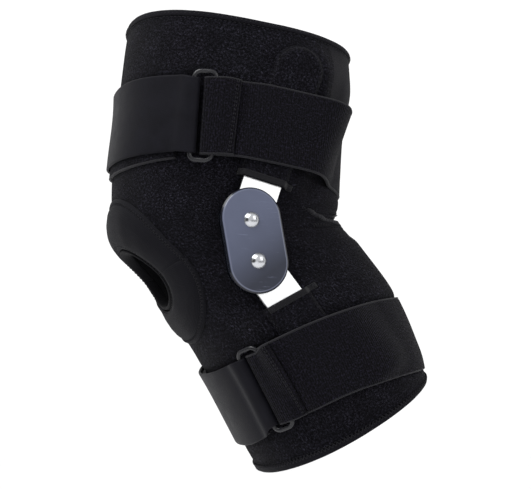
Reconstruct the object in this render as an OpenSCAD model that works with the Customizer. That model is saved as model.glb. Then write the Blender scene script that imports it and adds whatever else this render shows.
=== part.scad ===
// Hinged knee brace with a wrap sleeve, geared side hinges and two ring-and-hook straps.
// Frame: +Z up, -Y front (kneecap), +Y back of the knee, +X outer side of the leg.
// Origin: knee centre, midway between the two hinges and midway between their pivots.

/* [Hinge] */
// Distance between the two rivets of a hinge
pivot_gap = 25.6; // [20:0.2:32]
// Lean of the rivet line from vertical, top towards the front
cover_lean = 10; // [0:1:15]
// Angle of each strut from the rivet line in the modelled pose
half_flexion = 28; // [0:1:45]
// Width of the hinge cover
cover_w = 38; // [32:0.5:46]
// Length of the hinge cover
cover_l = 66; // [56:0.5:80]
// Thickness of one cover plate
cover_t = 3.2; // [2:0.1:5]
// Bevel round the rim of a cover plate
cover_bevel = 1.4; // [0.4:0.1:2]
// Distance of the hinge's middle plane from the leg's middle plane
hinge_x = 71; // [60:0.5:85]
// Diameter of a rivet head
rivet_head_d = 9.8; // [7:0.1:12]
// Height of the rivet's dome
rivet_dome_h = 2.8; // [1.5:0.1:4]
// Diameter of the rivet shaft
rivet_d = 5; // [3:0.1:7]
// Radial clearance of the struts on the rivet shafts
pivot_clear = 0.1; // [0.05:0.01:0.3]
// Number of teeth on a full gear
teeth = 16; // [12:2:24]

/* [Struts] */
// Width of the metal struts
strut_w = 24.5; // [18:0.5:30]
// Thickness of the metal struts
strut_t = 2.6; // [2:0.1:4]
// Length of the upper strut from its rivet
upper_len = 112; // [80:1:150]
// Length of the lower strut from its rivet
lower_len = 96; // [80:1:150]
// Distance from the rivet to the bend in a strut
bend_at = 34; // [28:1:60]
// Outward bend of the upper strut
upper_bend = 3.5; // [0:0.5:8]
// Inward bend of the lower strut
lower_bend = 2; // [0:0.5:8]

/* [Sleeve] */
// Thickness of the padded sleeve fabric
sleeve_t = 4; // [3:0.5:6]
// Squareness of the sleeve's section (2 is an ellipse)
section_n = 2.4; // [2:0.1:3]
// Width of the folded hem
hem_w = 6; // [4:0.5:10]
// Number of steps round the sleeve
around = 48; // [36:4:72]

/* [Pockets] */
// Half width of a strut pocket
pocket_half = 17; // [15:0.5:22]
// Thickness of the pocket fabric
pocket_t = 1.6; // [1:0.1:3]
// Distance from the upper rivet to the upper pocket's mouth
upper_mouth = 25.8; // [22:0.2:34]
// Distance from the lower rivet to the lower pocket's mouth
lower_mouth = 28.6; // [22:0.2:34]
// Slope of the upper and lower mouths across their struts
mouth_slope = [0.05, 0.16];
// Width of the binding tape at a pocket's mouth
mouth_tape = 4; // [3:0.5:6]

/* [Straps] */
// Width of the folds round the rings' bars
strap_w = 47; // [38:1:56]
// Thickness of the elastic straps
strap_t = 2.4; // [1.5:0.1:4]
// Thickness of the hook tabs
tab_t = 2; // [1.2:0.1:3]
// Wire diameter of the rings
wire_d = 3.2; // [2.5:0.1:5]
// Inside height of a ring
ring_h = 52; // [48:1:60]
// Distance between a ring's two long bars
bar_gap = 13.5; // [10:0.5:18]
// Centre of the thigh ring
thigh_ring_pos = [70.9, -32.1, 76.9];
// Lean and turn of the thigh ring
thigh_ring_rot = [2.7, 4, 71.5];
// Centre of the calf ring
calf_ring_pos = [53.8, 12.5, -90.8];
// Lean and turn of the calf ring
calf_ring_rot = [21.8, -18.9, 42.7];

/* [Knee opening] */
// Half height of the kneecap opening in section steps
cap_hu = 0.72; // [0.4:0.02:1]
// Half width of the kneecap opening in degrees round the section
cap_ht = 21; // [12:1:30]
// Thickness of the padding round the kneecap
pad_t = 4; // [2:0.5:7]

/* [Hidden] */

knit = [0.13, 0.13, 0.15];
jersey = [0.17, 0.17, 0.19];
elastic = [0.1, 0.1, 0.12];
vinyl = [0.17, 0.17, 0.19];
plastic = [0.3, 0.32, 0.39];
bright = [0.85, 0.86, 0.88];
wire = [0.2, 0.2, 0.22];

// Sections down the leg: front y, front z, back y, back z, half width, droop of the sides.
sections = [
    [-62, 150, 76, 131, 68, -2],
    [-65.5, 121, 77, 105, 69, 0],
    [-66.5, 90, 71, 76, 68, 0],
    [-70, 58, 69.5, 50, 65, 0],
    [-72, 30, 69, 32, 61, 0],
    [-68, 4, 69, 19, 59, 0],
    [-46, -22, 84, 4, 59, 0],
    [-26, -50, 103, -20, 61, 0],
    [-4.5, -82, 117, -48, 62, -1],
    [12.5, -112, 125, -68, 61, -2],
    [29, -143, 129, -84, 58, -3]];

g = pivot_gap / 2;
up_lean = half_flexion - cover_lean;
low_lean = half_flexion + cover_lean;
pu = [-g * sin(cover_lean), g * cos(cover_lean)];
pl = -pu;
stack = strut_t / 2 + 0.6;
rivet_r = rivet_d / 2;
bore_r = rivet_r + pivot_clear;
last = len(sections) - 1;

// Smooth row between sections at u, counted from the top.
function row(u) = let (v = min(max(u, 0), last - 0.0001), i = floor(v), t = v - i,
    p0 = sections[max(i - 1, 0)], p1 = sections[i], p2 = sections[i + 1],
    p3 = sections[min(i + 2, last)])
    0.5 * (2 * p1 + (p2 - p0) * t + (2 * p0 - 5 * p1 + 4 * p2 - p3) * t * t
    + (3 * p1 - p0 - 3 * p2 + p3) * t * t * t);
function front(r) = [r[0], r[1]];
function back(r) = [r[2], r[3]];
function half(r) = norm(back(r) - front(r)) / 2;
function dir(r) = (back(r) - front(r)) / norm(back(r) - front(r));
function sgn(a) = a < 0 ? -1 : 1;
// Share of the half width at angle a (0 front, 90 outer side, 180 back).
function wide(a) = sgn(sin(a)) * pow(max(0, 1 - pow(abs(cos(a)), section_n)), 1 / section_n);
// Point at section u, angle a, offset o outside the sleeve's inner face.
function skin(u, a, o) = let (r = row(u), c = (front(r) + back(r)) / 2, d = dir(r),
    k = -cos(a) * (half(r) + o), b = r[5] * sin(a) * sin(a))
    [(r[4] + o) * wide(a), c[0] + d[0] * k - d[1] * b, c[1] + d[1] * k + d[0] * b];
// Edge of a band round the leg: mean, front-to-back part and side part.
function edge(e, a) = e[0] + e[1] * cos(a) + e[2] * sin(a) * sin(a);
function mix(a, b, t) = a + (b - a) * t;
function ease(t) = let (c = min(max(t, 0), 1)) c * c * (3 - 2 * c);

// Strut line coordinates in the side view: s along the strut, v across it towards the back.
function up_at(s, v) = pu + s * [sin(up_lean), cos(up_lean)] + v * [cos(up_lean), -sin(up_lean)];
function low_at(s, v) = pl + s * [sin(low_lean), -cos(low_lean)]
    + v * [cos(low_lean), sin(low_lean)];
function up_s(p) = (p - pu) * [sin(up_lean), cos(up_lean)];
function up_v(p) = (p - pu) * [cos(up_lean), -sin(up_lean)];
function low_s(p) = (p - pl) * [sin(low_lean), -cos(low_lean)];
function low_v(p) = (p - pl) * [cos(low_lean), sin(low_lean)];
// Outer face of a strut as x at distance s from its rivet.
function up_x(s) = hinge_x + strut_t / 2 + max(0, s - bend_at) * tan(upper_bend);
function low_x(s) = hinge_x + strut_t / 2 - max(0, s - bend_at) * tan(lower_bend);
// Section whose chord passes through the side-view point p.
function above(u, p) = let (r = row(u), d = dir(r), q = p - front(r)) d[0] * q[1] - d[1] * q[0];
function find_u(p, lo, hi, n) = n == 0 ? (lo + hi) / 2 : let (m = (lo + hi) / 2)
    above(m, p) > 0 ? find_u(p, lo, m, n - 1) : find_u(p, m, hi, n - 1);
// Outer side of the leg as x over the side-view point p at offset o.
function side_x(p, o) = let (u = find_u(p, 0, last, 13), r = row(u),
    k = abs((p - (front(r) + back(r)) / 2) * dir(r)) / (half(r) + o))
    (r[4] + o) * pow(max(0, 1 - pow(min(k, 1), section_n)), 1 / section_n);
// Share of a pocket's bulge: full over the strut, none at the sewn edge.
function swell(v, s, tip) = let (r = s > tip ? norm([v, s - tip]) : abs(v))
    1 - ease((r - strut_w / 2 - 2.2) / 2.5);
function up_pocket_x(p) = let (s = up_s(p), v = up_v(p))
    mix(side_x(p, sleeve_t + 0.2), up_x(s) + 0.4, swell(v, s, upper_len - strut_w / 2));
function low_pocket_x(p) = let (s = low_s(p), v = low_v(p))
    mix(side_x(p, sleeve_t + 0.2), low_x(s) + 0.4, swell(v, s, lower_len - strut_w / 2));
// Lift of a strap over the pockets, as an offset from the sleeve's inner face.
function lift(u, a, o, upper) = let (q = skin(u, a, o + 3), p = [q[1], q[2]], r = row(u),
    s = upper ? up_s(p) : low_s(p), v = upper ? up_v(p) : low_v(p),
    x = (upper ? up_x(s) : low_x(s)) + 0.4 + pocket_t + 0.4,
    need = x / max(0.3, abs(wide(a))) - r[4],
    w = s < 10 ? 0 : 1 - ease((abs(v) - pocket_half - 1) / (v < 0 ? 16 : 30)),
    e = 1 - ease((s - (upper ? upper_len : lower_len) - 6) / 14))
    max(o, mix(o, max(o, need), w * e));

// Solid swept round: pts is a list of closed loops of equal length.
module loops(pts, closed) {
    n = len(pts);
    m = len(pts[0]);
    side = [for (i = [0 : n - (closed ? 1 : 2)], j = [0 : m - 1])
        let (a = i * m + j, b = i * m + (j + 1) % m, c = ((i + 1) % n) * m + (j + 1) % m,
        d = ((i + 1) % n) * m + j) each [[a, b, c], [a, c, d]]];
    ends = closed ? [] : [[for (j = [m - 1 : -1 : 0]) j], [for (j = [0 : m - 1]) (n - 1) * m + j]];
    polyhedron([for (l = pts) each l], concat(side, ends), convexity = 8);
}

// Profile of a flat layer from share 0 to 1 of the band, n steps, offsets o to o + t.
function layer(n, o, t, c) = concat([[0, o + t * c]], [for (i = [1 : n - 1]) [i / n, o]],
    [[1, o + t * c]], [[1, o + t * (1 - c)]], [for (i = [n - 1 : -1 : 1]) [i / n, o + t]],
    [[0, o + t * (1 - c)]]);

// Band of the profile round the leg between edges e0 and e1, from angle a0 to a1. Its end at
// angle top stands up further by rise, to meet the fold round a ring's bar.
module band(profile, e0, e1, a0, a1, n, closed, top = 0, rise = 0) {
    loops([for (i = [0 : n - (closed ? 1 : 0)]) let (a = a0 + (a1 - a0) * i / n,
        up = rise * (1 - ease((abs(a - top) - 1) / 10)))
        [for (q = profile) skin(mix(edge(e0, a), edge(e1, a), q[0]), a, q[1] + up)]], closed);
}

// Strap band lifted over the pockets.
module strap_band(profile, base, e0, e1, a0, a1, n, upper) {
    loops([for (i = [0 : n]) let (a = a0 + (a1 - a0) * i / n)
        [for (q = profile) let (u = mix(edge(e0, a), edge(e1, a), q[0]))
        skin(u, a, lift(u, a, base, upper) + q[1] - base)]], false);
}

thigh_low = [3.675, 0.375, 0];
calf_high = [6.925, -0.325, 0];
strap_up_top = [1.65, -0.1, -0.11];
strap_up_low = [3.46, -0.31, -0.33];
strap_low_top = [7.65, 0.24, -0.27];
strap_low_low = [9.43, -0.08, -0.49];

module thigh_sleeve() {
    color(knit) band(layer(8, 0, sleeve_t, 0), [0.05, 0, 0], thigh_low, 0, 360, around, true);
}

module knee_sleeve() {
    color(knit) difference() {
        band(layer(8, 0, sleeve_t, 0), thigh_low + [0.02, 0, 0], calf_high - [0.02, 0, 0],
            0, 360, around, true);
        opening(5.88, 0, cap_hu, cap_ht);
        opening(4.9, 180, 0.34, 34);
    }
}

module calf_sleeve() {
    color(knit) band(layer(8, 0, sleeve_t, 0), calf_high, [9.95, 0, 0], 0, 360, around, true);
}

// Plug through the sleeve for an opening centred on section u and angle a.
module opening(u, a, hu, ha) {
    path = [[0.02, -6], [0.5, -6], [1, -6], [1, 10], [0.5, 10], [0.02, 10]];
    loops([for (q = path) [for (t = [0 : 15 : 345])
        skin(u + q[0] * hu * sin(t), a + q[0] * ha * cos(t), q[1])]], false);
}

// Folded hem that wraps a sleeve's cut edge; u0 is the edge, u1 the inner end.
module hem(u0, u1) {
    s = u1 > u0 ? 1 : -1;
    e = u0 + s * 0.028;
    t = sleeve_t;
    prof = [[u0 + s * 0.01, -0.6], [u0, t / 2], [u0 + s * 0.01, t + 0.6], [u0 + s * 0.05, t + 1.1],
        [u1, t + 1], [u1, t + 0.15], [e, t + 0.15], [e, -0.15], [u1, -0.15], [u1, -1],
        [u0 + s * 0.05, -1.1]];
    p = s > 0 ? prof : [for (i = [len(prof) - 1 : -1 : 0]) prof[i]];
    loops([for (i = [0 : around - 1]) let (a = 360 * i / around)
        [for (q = [for (j = [len(p) - 1 : -1 : 0]) p[j]]) skin(q[0], a, q[1])]], true);
}

module thigh_hem() {
    color(jersey) hem(0, hem_w / 30);
}

module calf_hem() {
    color(jersey) hem(last, last - hem_w / 32);
}

// Pocket layer over a strut. The layer follows the strut, then closes on the sleeve.
module pocket(upper) {
    len_s = upper ? upper_len : lower_len;
    tip = len_s - strut_w / 2;
    mouth = upper ? upper_mouth : lower_mouth;
    slope = mouth_slope[upper ? 0 : 1];
    ss = concat([for (i = [0 : 7]) mix(mouth, tip, i / 7)],
        [for (b = [22, 42, 60, 74]) tip + pocket_half * sin(b)]);
    shares = [-1, -0.94, -0.87, -0.79, -0.4, 0, 0.4, 0.79, 0.87, 0.94, 1];
    function across(s) = s > tip ? sqrt(pow(pocket_half, 2) - pow(s - tip, 2)) : pocket_half;
    function spot(s, f, t) = let (v = f * across(s), k = s + slope * v * max(0, (tip - s) / (tip - mouth)),
        p = upper ? up_at(k, v) : low_at(k, v))
        [(upper ? up_pocket_x(p) : low_pocket_x(p)) + t, p[0], p[1]];
    pts = [for (s = ss) concat([for (f = shares) spot(s, f, 0)],
        [for (i = [len(shares) - 1 : -1 : 0]) spot(s, shares[i], pocket_t)])];
    loops(upper ? [for (i = [len(pts) - 1 : -1 : 0]) pts[i]] : pts, false);
}

// Tape sewn across a pocket's mouth from v0 to v1.
module mouth_tape_at(upper, v0, v1) {
    mouth = upper ? upper_mouth : lower_mouth;
    slope = mouth_slope[upper ? 0 : 1];
    ss = [mouth + 0.2, mouth + mouth_tape];
    stops = [-20.5, -17.5, -16, -14.8, -13.4, -6.8, 0, 6.8, 13.4, 14.8, 16, 17.5, 20.5];
    vs = concat([v0], [for (v = stops) if (v > v0 + 1 && v < v1 - 1) v], [v1]);
    function spot(s, v, t) = let (p = upper ? up_at(s + slope * v, v) : low_at(s + slope * v, v),
        x = upper ? up_pocket_x(p) : low_pocket_x(p))
        [x + pocket_t * (1 - ease((abs(v) - pocket_half - 0.6) / 3)) + 0.3 + t, p[0], p[1]];
    pts = [for (v = vs) [spot(ss[0], v, 0), spot(ss[1], v, 0), spot(ss[1], v, 1),
        spot(ss[0], v, 1)]];
    loops(upper ? pts : [for (i = [len(pts) - 1 : -1 : 0]) pts[i]], false);
}

module medial() {
    mirror([1, 0, 0]) children();
}

module lateral_upper_pocket() {
    color(knit) pocket(true);
}

module medial_upper_pocket() {
    color(knit) medial() pocket(true);
}

module lateral_lower_pocket() {
    color(knit) pocket(false);
}

module medial_lower_pocket() {
    color(knit) medial() pocket(false);
}

module lateral_upper_mouth_tape() {
    color(jersey) mouth_tape_at(true, -16.6, 20.4);
}

module medial_upper_mouth_tape() {
    color(jersey) medial() mouth_tape_at(true, -16.6, 20.4);
}

module lateral_lower_mouth_tape() {
    color(jersey) mouth_tape_at(false, -13.4, 23);
}

module medial_lower_mouth_tape() {
    color(jersey) medial() mouth_tape_at(false, -13.4, 23);
}

// Stadium plate, bevelled on its far face, lying on the YZ plane and growing along +X.
module plate(w, l, t, b) {
    rotate([0, 90, 0]) {
        for (s = [-1, 1]) translate([s * (l - w) / 2, 0, 0]) {
            cylinder(d = w, h = t - b, $fn = 72);
            translate([0, 0, t - b]) cylinder(d1 = w, d2 = w - 2 * b, h = b, $fn = 72);
        }
        rotate([90, 0, 90]) linear_extrude(l - w, center = true)
            polygon([[-w / 2, 0], [w / 2, 0], [w / 2, t - b], [w / 2 - b, t],
                [b - w / 2, t], [-w / 2, t - b]]);
    }
}

// Places children at a pivot (side-view point p) with local +X outward.
module at_pivot(p) {
    translate([0, p[0], p[1]]) rotate([0, 90, 0]) children();
}

module outer_cover() {
    color(plastic) difference() {
        translate([hinge_x + stack, 0, 0]) rotate([cover_lean, 0, 0])
            plate(cover_w, cover_l, cover_t, cover_bevel);
        for (p = [pu, pl]) at_pivot(p) cylinder(r = bore_r, h = 200, $fn = 32);
    }
}

module inner_cover() {
    color(plastic) difference() {
        translate([hinge_x - stack, 0, 0]) mirror([1, 0, 0]) rotate([cover_lean, 0, 0])
            plate(cover_w, cover_l, cover_t, cover_bevel);
        for (p = [pu, pl]) at_pivot(p) {
            cylinder(r = bore_r, h = 200, $fn = 32);
            cylinder(r = 4.5, h = hinge_x - stack - cover_t + 1.3, $fn = 48);
        }
    }
}

module rivet(p) {
    top = hinge_x + stack + cover_t;
    low = hinge_x - stack - cover_t + 0.05;
    ball = (pow(rivet_head_d / 2, 2) + pow(rivet_dome_h, 2)) / (2 * rivet_dome_h);
    color(bright) at_pivot(p) {
        translate([0, 0, low]) cylinder(r = 4.3, h = 1.2, $fn = 48);
        translate([0, 0, low + 0.6]) cylinder(r = rivet_r, h = top - low + 0.6, $fn = 32);
        translate([0, 0, top + 0.05]) intersection() {
            translate([0, 0, rivet_dome_h - ball]) sphere(r = ball, $fn = 48);
            cylinder(d = rivet_head_d, h = rivet_dome_h, $fn = 48);
        }
    }
}

module washers() {
    color(bright) for (p = [pu, pl], x = [hinge_x - strut_t / 2 - 0.55, hinge_x + strut_t / 2 + 0.05])
        at_pivot(p) translate([0, 0, x]) difference() {
            cylinder(r = 7, h = 0.5, $fn = 48);
            translate([0, 0, -1]) cylinder(r = bore_r, h = 3, $fn = 32);
        }
}

module hinge_pad() {
    color(jersey) translate([64.5, 0, 0]) rotate([cover_lean, 0, 0]) plate(30, 40, 1.3, 0.3);
}

module lateral_outer_cover() {
    outer_cover();
}

module lateral_inner_cover() {
    inner_cover();
}

module lateral_washers() {
    washers();
}

module lateral_upper_rivet() {
    rivet(pu);
}

module lateral_lower_rivet() {
    rivet(pl);
}

module lateral_hinge_pad() {
    hinge_pad();
}

module medial_outer_cover() {
    medial() outer_cover();
}

module medial_inner_cover() {
    medial() inner_cover();
}

module medial_washers() {
    medial() washers();
}

module medial_upper_rivet() {
    medial() rivet(pu);
}

module medial_lower_rivet() {
    medial() rivet(pl);
}

module medial_hinge_pad() {
    medial() hinge_pad();
}

// Gear blank outline: tooth number 0 points along angle a.
function gear(a) = let (m = pivot_gap / teeth, r0 = g - 1.15 * m, r1 = g + 0.85 * m)
    [for (i = [0 : teeth - 1]) let (c = a + i * 360 / teeth)
    each [[r0, c - 7.2], [g, c - 4.7], [r1, c - 2.2], [r1, c + 2.2], [g, c + 4.7], [r0, c + 7.2]]];

// Strut lying along +Z from its pivot, flat in YZ; the gear's tooth or gap meets angle a.
// Its outline, extruded across, is cut to its bent edge view.
module strut(length, bend, a) {
    h = strut_t / 2;
    end = length + 5;
    shift = (end - bend_at) * tan(bend);
    color(bright) difference() {
        intersection() {
            translate([-10, 0, 0]) rotate([90, 0, 90]) linear_extrude(30) {
                polygon([for (q = gear(a)) q[0] * [cos(q[1]), sin(q[1])]]);
                translate([-strut_w / 2, 0]) square([strut_w, length - strut_w / 2]);
                translate([0, length - strut_w / 2]) circle(d = strut_w, $fn = 64);
            }
            translate([0, 30, 0]) rotate([90, 0, 0]) linear_extrude(60)
                polygon([[-h, -20], [h, -20], [h, bend_at], [h + shift, end],
                    [shift - h, end], [-h, bend_at]]);
        }
        translate([-20, 0, 0]) rotate([0, 90, 0]) cylinder(r = bore_r, h = 50, $fn = 32);
    }
}

module upper_strut() {
    translate([hinge_x, pu[0], pu[1]]) rotate([-up_lean, 0, 0])
        strut(upper_len, upper_bend, 270 + half_flexion);
}

module lower_strut() {
    translate([hinge_x, pl[0], pl[1]]) rotate([180 + low_lean, 0, 0])
        strut(lower_len, -lower_bend, 270 - half_flexion + 180 / teeth);
}

module lateral_upper_strut() {
    upper_strut();
}

module medial_upper_strut() {
    medial() upper_strut();
}

module lateral_lower_strut() {
    lower_strut();
}

module medial_lower_strut() {
    medial() lower_strut();
}

// Wire ring in its own frame: bars along Z, x across, y into the leg.
module ring() {
    r = wire_d / 2;
    c = 4;
    w = bar_gap / 2;
    h = ring_h / 2 + r;
    color(wire) {
        for (s = [-1, 1]) {
            translate([s * w, 0, c - h]) cylinder(r = r, h = 2 * (h - c), $fn = 24);
            translate([c - w, 0, s * h]) rotate([0, 90, 0])
                cylinder(r = r, h = 2 * (w - c), $fn = 24);
        }
        for (s = [-1, 1], t = [-1, 1]) translate([s * (w - c), 0, t * (h - c)])
            rotate([90, 0, 0]) intersection() {
                rotate_extrude($fn = 48) translate([c, 0]) circle(r = r, $fn = 24);
                translate([s > 0 ? 0 : -10, t > 0 ? 0 : -10, -5]) cube(10);
            }
    }
}

module thigh_ring() {
    translate(thigh_ring_pos) rotate(thigh_ring_rot) ring();
}

module calf_ring() {
    translate(calf_ring_pos) rotate(calf_ring_rot) ring();
}

// Fold of a strap round one long bar of a ring (s is the bar's side).
module fold_tube(s, t, length) {
    translate([s * bar_gap / 2, 0, -length / 2]) difference() {
        cylinder(r = wire_d / 2 + 0.3 + t, h = length, $fn = 40);
        translate([0, 0, -1]) cylinder(r = wire_d / 2 + 0.3, h = length + 2, $fn = 32);
    }
}

// Elastic strap from the ring's rear bar (angle a0) round the back to the inner side, with its
// end folded round the bar and sewn down.
module elastic_strap(pos, rot, e0, e1, a0, n, upper) {
    color(elastic) {
        translate(pos) rotate(rot) fold_tube(1, strap_t, strap_w);
        strap_band(layer(4, 4.5, strap_t, 0.3), 4.5, e0, e1, a0, 268.5, n, upper);
        band(layer(4, 4.4 + strap_t, strap_t, 0.3), e0, e1, a0, a0 + 9, 5, false, a0, 3.9);
    }
}

// Hook tab from the ring's front bar (angle a1) forward to angle a0, peeling about the bar.
module hook_tab(pos, rot, e0, e1, a0, a1, n) {
    color(vinyl) {
        translate(pos) rotate(rot) fold_tube(-1, tab_t, strap_w);
        band(layer(4, 7.4, tab_t, 0.2), e0, e1, a0, a1, n, false, a1, 3.3);
    }
}

module thigh_elastic_strap() {
    elastic_strap(thigh_ring_pos, thigh_ring_rot, strap_up_top, strap_up_low, 71, 50, true);
}

module thigh_front_strap() {
    color(elastic) strap_band(layer(4, 4.5, strap_t, 0.3), 4.5, strap_up_top + [0.1, 0, 0],
        strap_up_low + [-0.04, 0.24, 0], -90.5, 52, 36, true);
}

module thigh_hook_tab() {
    hook_tab(thigh_ring_pos, thigh_ring_rot, strap_up_top, strap_up_low, -28, 59, 26);
}

module calf_elastic_strap() {
    elastic_strap(calf_ring_pos, calf_ring_rot, strap_low_top, strap_low_low, 51.6, 54, false);
}

module calf_front_strap() {
    color(elastic) strap_band(layer(4, 4.5, strap_t, 0.3), 4.5, strap_low_top + [0.06, 0, 0],
        strap_low_low - [0.04, 0, 0], -90.5, 30, 30, false);
}

module calf_hook_tab() {
    hook_tab(calf_ring_pos, calf_ring_rot, strap_low_top + [0.03, 0, 0],
        strap_low_low - [0.05, 0, 0], -40, 37, 22);
}

// Padded ring round the kneecap opening, thickest between its two seams.
module kneecap_pad() {
    fr = [0, 0.08, 0.3, 0.6, 0.88, 1];
    th = [0.35, 0.8, 1, 0.95, 0.5, 0.2];
    o = sleeve_t + 0.7;
    function spot(t, f, h) = skin(mix(5.88 + cap_hu * 1.02 * sin(t), 5.63 + 1.7 * sin(t), f),
        mix(cap_ht * 1.02 * cos(t), 45.5 * cos(t), f), h);
    color(jersey) loops([for (t = [0 : 10 : 350]) concat([for (f = fr) spot(t, f, o)],
        [for (i = [5 : -1 : 0]) spot(t, fr[i], o + pad_t * th[i])])], true);
}

// Rolled edge lining an opening, lying just inside the cut edge.
module rolled_edge(u, a, hu, ha, top) {
    ring_pts = [[0.97, -0.6], [0.97, top], [0.93, top + 0.9], [0.86, top + 0.6],
        [0.84, top / 2], [0.86, -0.9], [0.93, -1.2]];
    loops([for (t = [0 : 10 : 350]) [for (q = ring_pts)
        skin(u + q[0] * hu * sin(t), a + q[0] * ha * cos(t), q[1])]], true);
}

module kneecap_binding() {
    color(jersey) rolled_edge(5.88, 0, cap_hu, cap_ht, 5.6);
}

module knee_back_binding() {
    color(jersey) rolled_edge(4.9, 180, 0.34, 34, 4.2);
}

thigh_sleeve();
thigh_hem();
thigh_elastic_strap();
thigh_front_strap();
thigh_ring();
thigh_hook_tab();
lateral_upper_pocket();
medial_upper_pocket();
lateral_upper_mouth_tape();
medial_upper_mouth_tape();
lateral_upper_strut();
medial_upper_strut();
knee_sleeve();
kneecap_pad();
kneecap_binding();
knee_back_binding();
lateral_outer_cover();
lateral_inner_cover();
lateral_washers();
lateral_upper_rivet();
lateral_lower_rivet();
lateral_hinge_pad();
medial_outer_cover();
medial_inner_cover();
medial_washers();
medial_upper_rivet();
medial_lower_rivet();
medial_hinge_pad();
calf_sleeve();
calf_hem();
calf_elastic_strap();
calf_front_strap();
calf_ring();
calf_hook_tab();
lateral_lower_pocket();
medial_lower_pocket();
lateral_lower_mouth_tape();
medial_lower_mouth_tape();
lateral_lower_strut();
medial_lower_strut();
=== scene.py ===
import bmesh
import bpy
import numpy as np
from math import cos, pi, radians, sin, tan
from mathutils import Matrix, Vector


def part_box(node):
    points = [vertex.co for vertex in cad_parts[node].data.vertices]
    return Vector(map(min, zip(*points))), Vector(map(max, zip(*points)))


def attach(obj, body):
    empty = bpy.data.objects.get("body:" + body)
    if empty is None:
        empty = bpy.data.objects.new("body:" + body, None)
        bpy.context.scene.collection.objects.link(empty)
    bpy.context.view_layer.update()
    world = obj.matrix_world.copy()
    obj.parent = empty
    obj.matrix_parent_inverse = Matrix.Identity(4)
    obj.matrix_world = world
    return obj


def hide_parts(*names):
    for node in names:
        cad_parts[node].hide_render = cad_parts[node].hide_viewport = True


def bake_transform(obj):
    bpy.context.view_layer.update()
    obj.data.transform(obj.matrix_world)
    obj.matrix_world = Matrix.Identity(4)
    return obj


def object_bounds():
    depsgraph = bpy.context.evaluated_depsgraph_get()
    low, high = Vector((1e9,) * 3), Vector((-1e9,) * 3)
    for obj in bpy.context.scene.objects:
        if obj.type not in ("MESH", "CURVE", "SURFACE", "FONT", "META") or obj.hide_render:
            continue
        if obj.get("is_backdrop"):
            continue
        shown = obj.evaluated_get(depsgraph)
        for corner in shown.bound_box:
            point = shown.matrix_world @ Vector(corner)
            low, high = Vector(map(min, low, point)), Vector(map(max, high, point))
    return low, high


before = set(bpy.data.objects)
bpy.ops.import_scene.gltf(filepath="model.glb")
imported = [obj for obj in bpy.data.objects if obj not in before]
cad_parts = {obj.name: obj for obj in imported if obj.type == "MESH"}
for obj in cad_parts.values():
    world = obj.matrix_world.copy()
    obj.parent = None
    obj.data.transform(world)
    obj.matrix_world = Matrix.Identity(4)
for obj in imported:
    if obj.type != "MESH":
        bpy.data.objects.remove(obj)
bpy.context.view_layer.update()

# ---- frame
# Everything below is written in millimetres about the knee centre. The two outer hinge covers
# give the centre and the scale, because their middles are 149 mm apart.
COVER_GAP = 149.0


def middle(box):
    low, high = (np.array(v) for v in box)
    return (low + high) / 2


LATERAL, MEDIAL = middle(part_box("lateral_outer_cover")), middle(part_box("medial_outer_cover"))
ORIGIN = (LATERAL + MEDIAL) / 2
UNIT = float(np.linalg.norm(LATERAL - MEDIAL)) / COVER_GAP


def metres(p):
    return ORIGIN + np.asarray(p, float) * UNIT


# ---- the leg surface
rad, cat = np.radians, np.concatenate
# Each section, from the top: front y, z, back y, z, half width, and how far its sides rise.
SECTIONS = np.array([
    [-62, 150, 76, 131, 68, -2], [-65.5, 121, 77, 105, 69, 0], [-66.5, 90, 71, 76, 68, 0],
    [-70, 58, 69.5, 50, 65, 0], [-72, 30, 69, 32, 61, 0], [-68, 4, 69, 19, 59, 0],
    [-46, -22, 84, 4, 59, 0], [-26, -50, 103, -20, 61, 0], [-4.5, -82, 117, -48, 62, -1],
    [12.5, -112, 125, -68, 61, -2], [29, -143, 129, -84, 58, -3]], float)
LAST = 10
SQUARE = 2.4
LEAN = radians(10)
PIVOT = 12.8 * np.array([-sin(LEAN), cos(LEAN)])
HINGE_X, STRUT_T, STRUT_W = 71.0, 2.6, 24.5
BEND_AT = 34.0
# By half of the leg, True for the upper: a strut's rivet, lean and way, its length, and its pocket's mouth
# and the slope of that mouth.
STRUTS = {True: (PIVOT, radians(18), 1), False: (-PIVOT, radians(38), -1)}
LENGTH = {True: 112.0, False: 96.0}
MOUTH = {True: 25.8, False: 28.6}
SLOPE = {True: 0.05, False: 0.16}
POCKET_HALF, POCKET_T = 17.0, 1.6
SLEEVE_T, STRAP_T, TAB_T = 4.0, 2.4, 2.0
STRAP_OFF = 4.5
MM_PER_SECTION, MM_PER_DEGREE = 30.0, 1.2
# A strap's edges as section numbers round the leg: mean, cosine and squared sine terms.
THIGH_TOP, THIGH_LOW = [1.65, -0.1, -0.11], [3.46, -0.31, -0.33]
CALF_TOP, CALF_LOW = [7.65, 0.24, -0.27], [9.43, -0.08, -0.49]
# The two openings: middle as section number and angle, and half sizes.
CAP = (5.88, 0.0, 0.72, 21.0)
REAR = (4.9, 180.0, 0.34, 34.0)


def ease(t):
    c = np.clip(t, 0, 1)
    return c * c * (3 - 2 * c)


def mix(a, b, t):
    return a + (b - a) * t


def row(u):
    u = np.clip(np.asarray(u, float), 0, LAST - 1e-4)
    i = np.floor(u).astype(int)
    t = (u - i)[..., None]
    p0, p1 = SECTIONS[np.maximum(i - 1, 0)], SECTIONS[i]
    p2, p3 = SECTIONS[i + 1], SECTIONS[np.minimum(i + 2, LAST)]
    return 0.5 * (2 * p1 + (p2 - p0) * t + (2 * p0 - 5 * p1 + 4 * p2 - p3) * t * t
                  + (3 * p1 - p0 - 3 * p2 + p3) * t ** 3)


def wide(a):
    s = np.sin(rad(a))
    return np.sign(s) * np.maximum(0, 1 - np.abs(np.cos(rad(a))) ** SQUARE) ** (1 / SQUARE)


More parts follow.
